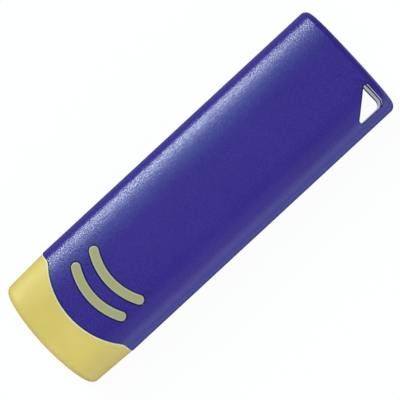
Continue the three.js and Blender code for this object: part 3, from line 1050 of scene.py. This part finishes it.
# %% The floor
REACH = 4.0
FLOOR_Z = -0.02 * MM  # a hair under the flat rear face, so that the two surfaces don't coincide
FLOOR_GLOW = 0.95  # the share of the floor's white that is its own light
CONTACT_SHADOW = (1.5 * MM, 12.5 * MM)  # reflections of the floor brighten over this distance
HOLE_SHADOW = (0.3 * MM, 0.42 * MM)  # and from the end wall of the lanyard hole over this one
DIM_SIDE = 0.36  # how bright the floor on the +Y side gets in reflections
DIM_FADE = (-5 * MM, 5 * MM)  # it dims over this stretch of y
WHITE = (1, 1, 1, 1)
MIRRORED_TINT = (0.74, 0.98, 1.45, 1)  # the colour of the floor in reflections
HOLE_TINT = (0.86, 0.85, 1.15, 1)  # and in those inside the lanyard hole

floor_mesh = bpy.data.meshes.new("floor")
floor_mesh.from_pydata(
    [(x, y, FLOOR_Z) for x, y in ((-REACH, -REACH), (REACH, -REACH), (REACH, REACH), (-REACH, REACH))],
    [], [(0, 1, 2, 3)],
)
floor = bpy.data.objects.new("floor", floor_mesh)
bpy.context.scene.collection.objects.link(floor)
floor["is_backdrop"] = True
print("the floor is", 2 * REACH, "m square")

# %% [markdown]
# ## The floor's paint
# Light Path tells which kind of ray meets the floor: the camera's rays see an even white, and
# reflections see a glow that depends on the place. Distances beyond the object's outline are
# worked out from the coordinates, so that the darker stretches follow the object's real edges.

# %% The floor's paint
floor_paint = bpy.data.materials.new("floor_paint")
floor_paint.use_nodes = True
tree = floor_paint.node_tree
paint = tree.nodes["Principled BSDF"]
paint.inputs["Base Color"].default_value = (1 - FLOOR_GLOW, 1 - FLOOR_GLOW, 1 - FLOOR_GLOW, 1)
paint.inputs["Roughness"].default_value = 0.9
paint.inputs["Specular IOR Level"].default_value = 0.0
place = add_node(tree, "SeparateXYZ", {"Vector": add_node(tree, "TexCoord").outputs["Object"]})
x, y = place.outputs["X"], place.outputs["Y"]
beyond_x = math_node(tree, "SUBTRACT", math_node(tree, "ABSOLUTE", x), CASE_END_X)
beyond_y = math_node(tree, "SUBTRACT", math_node(tree, "ABSOLUTE", y), HALF_WIDTH)
beyond = math_node(tree, "MAXIMUM", beyond_x, beyond_y)
far_light = remap(tree, y, *DIM_FADE, 1.0, DIM_SIDE)
beside = math_node(tree, "MINIMUM", remap(tree, beyond, *CONTACT_SHADOW, 0, 1), far_light)
to_wall = math_node(tree, "SUBTRACT", CASE_END_X - HOLE_END_WALL, x)
in_outline = math_node(tree, "LESS_THAN", beyond, 0)
in_hole = math_node(tree, "MULTIPLY", remap(tree, to_wall, *HOLE_SHADOW, 0, 1), in_outline)
mirrored = math_node(tree, "MAXIMUM", beside, in_hole)
path = add_node(tree, "LightPath").outputs
other = math_node(tree, "MAXIMUM", path["Is Glossy Ray"], path["Is Transmission Ray"])
mirrored = math_node(tree, "MULTIPLY", other, mirrored)
seen = math_node(tree, "MAXIMUM", path["Is Camera Ray"], mirrored)
glow = math_node(tree, "MULTIPLY", seen, FLOOR_GLOW)
tree.links.new(glow, paint.inputs["Emission Strength"])
tint = blend(tree, in_outline, MIRRORED_TINT, HOLE_TINT)
tint = blend(tree, path["Is Camera Ray"], tint, WHITE)
tree.links.new(tint, paint.inputs["Emission Color"])
floor_mesh.materials.append(floor_paint)
print(floor_paint.name, "has", len(tree.nodes), "nodes")

# %% [markdown]
# ## The lamps
# The photograph has a bright speckled band along the +Y shoulder that fades slowly towards the
# middle, and a faint band along the -Y shoulder. The curved shoulder mirrors every height over
# the horizon at its own distance from the edge, so the soft boxes are placed by height. On the
# +Y side a strong low box makes the band and two dimmer, higher ones make its tail. They are
# short along the object, so that the grain scatters them into specks. On the -Y side three faint
# boxes do the same, and two more near the horizon reach the edges at the tip and at the lanyard
# end. A studio picture on the world would light all of it at once, but its bands couldn't be
# moved one by one.

# %% The lamps
BOX_DISTANCE = 1.2
WORLD_LIGHT = 0.3
SOFT_BOXES = (
    ("key_box", 61, 0, 0.2, 0.74, 21.5, (0.84, 1.0, 1.08)),
    ("key_shoulder", 36, 0, 0.26, 0.34, 7.6, (0.76, 1.02, 1.16)),
    ("key_tail", 18, 0, 0.2, 0.52, 3.4, (0.5, 1.0, 1.2)),
    ("fill_box", 58, 180, 1.2, 0.52, 1.3, (0.8, 1.0, 1.3)),
    ("fill_tail", 28, 180, 0.8, 0.5, 0.6, (0.74, 1.04, 1.35)),
    ("low_box", 80, 180, 1.2, 0.5, 1.2, (0.76, 1.0, 1.6)),
    ("tip_side_box", 77, 222, 1.2, 0.54, 1.0, (0.95, 1.0, 1.12)),
    ("end_side_box", 77, 138, 1.2, 0.54, 1.1, (0.95, 1.0, 1.12)),
)  # name, lean and turn in degrees, length and width in metres, radiance, colour


def add_soft_box(name, lean, turn, length, width, radiance, colour):
    """A rectangular lamp that faces the object from one distance. It leans from straight above
    towards +Y at turn 0 and towards +X at turn 90. Its power is pi times radiance times area."""
    lamp = bpy.data.lights.new(name, "AREA")
    lamp.shape = "RECTANGLE"
    lamp.size, lamp.size_y = length, width
    lamp.energy = math.pi * radiance * length * width
    lamp.color = colour
    box = bpy.data.objects.new(name, lamp)
    box.rotation_euler = (-math.radians(lean), 0, -math.radians(turn))
    box.location = box.rotation_euler.to_matrix() @ Vector((0, 0, BOX_DISTANCE))
    bpy.context.scene.collection.objects.link(box)


for settings in SOFT_BOXES:
    add_soft_box(*settings)
world = bpy.data.worlds.new("studio")
world.use_nodes = True
world.node_tree.nodes["Background"].inputs["Color"].default_value = WHITE
world.node_tree.nodes["Background"].inputs["Strength"].default_value = WORLD_LIGHT
bpy.context.scene.world = world
print(len(SOFT_BOXES), "soft boxes")

# %% [markdown]
# ## The camera
# The photograph looks straight down on the front face, and the object lies slantwise in its
# square frame. So the camera looks down and is turned about its own axis, and the object stays
# square to the axes. The lens follows from the height and from how much the picture spans.

# %% The camera
CAMERA_HEIGHT = 300 * MM
FRAME_WIDTH = 57.58 * MM  # what the square picture spans at the object's mid thickness
CAMERA_X = 0.21 * MM
CAMERA_Y = -0.214 * MM
CAMERA_TURN = -42.79
camera_data = bpy.data.cameras.new("camera")
camera_data.lens = camera_data.sensor_width * CAMERA_HEIGHT / FRAME_WIDTH
camera = bpy.data.objects.new("camera", camera_data)
camera.location = (CAMERA_X, CAMERA_Y, CAMERA_HEIGHT + MIDDLE_Z)
camera.rotation_euler = (0, 0, math.radians(CAMERA_TURN))
bpy.context.scene.collection.objects.link(camera)
bpy.context.scene.camera = camera
bpy.context.scene.view_settings.view_transform = "Standard"
print("lens", round(camera_data.lens, 1), "mm")

visual_box = [list(corner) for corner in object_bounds()]
for label, box in (("cad", cad_box), ("visual", visual_box)):
    print(label, [[round(value / MM, 3) for value in corner] for corner in box])
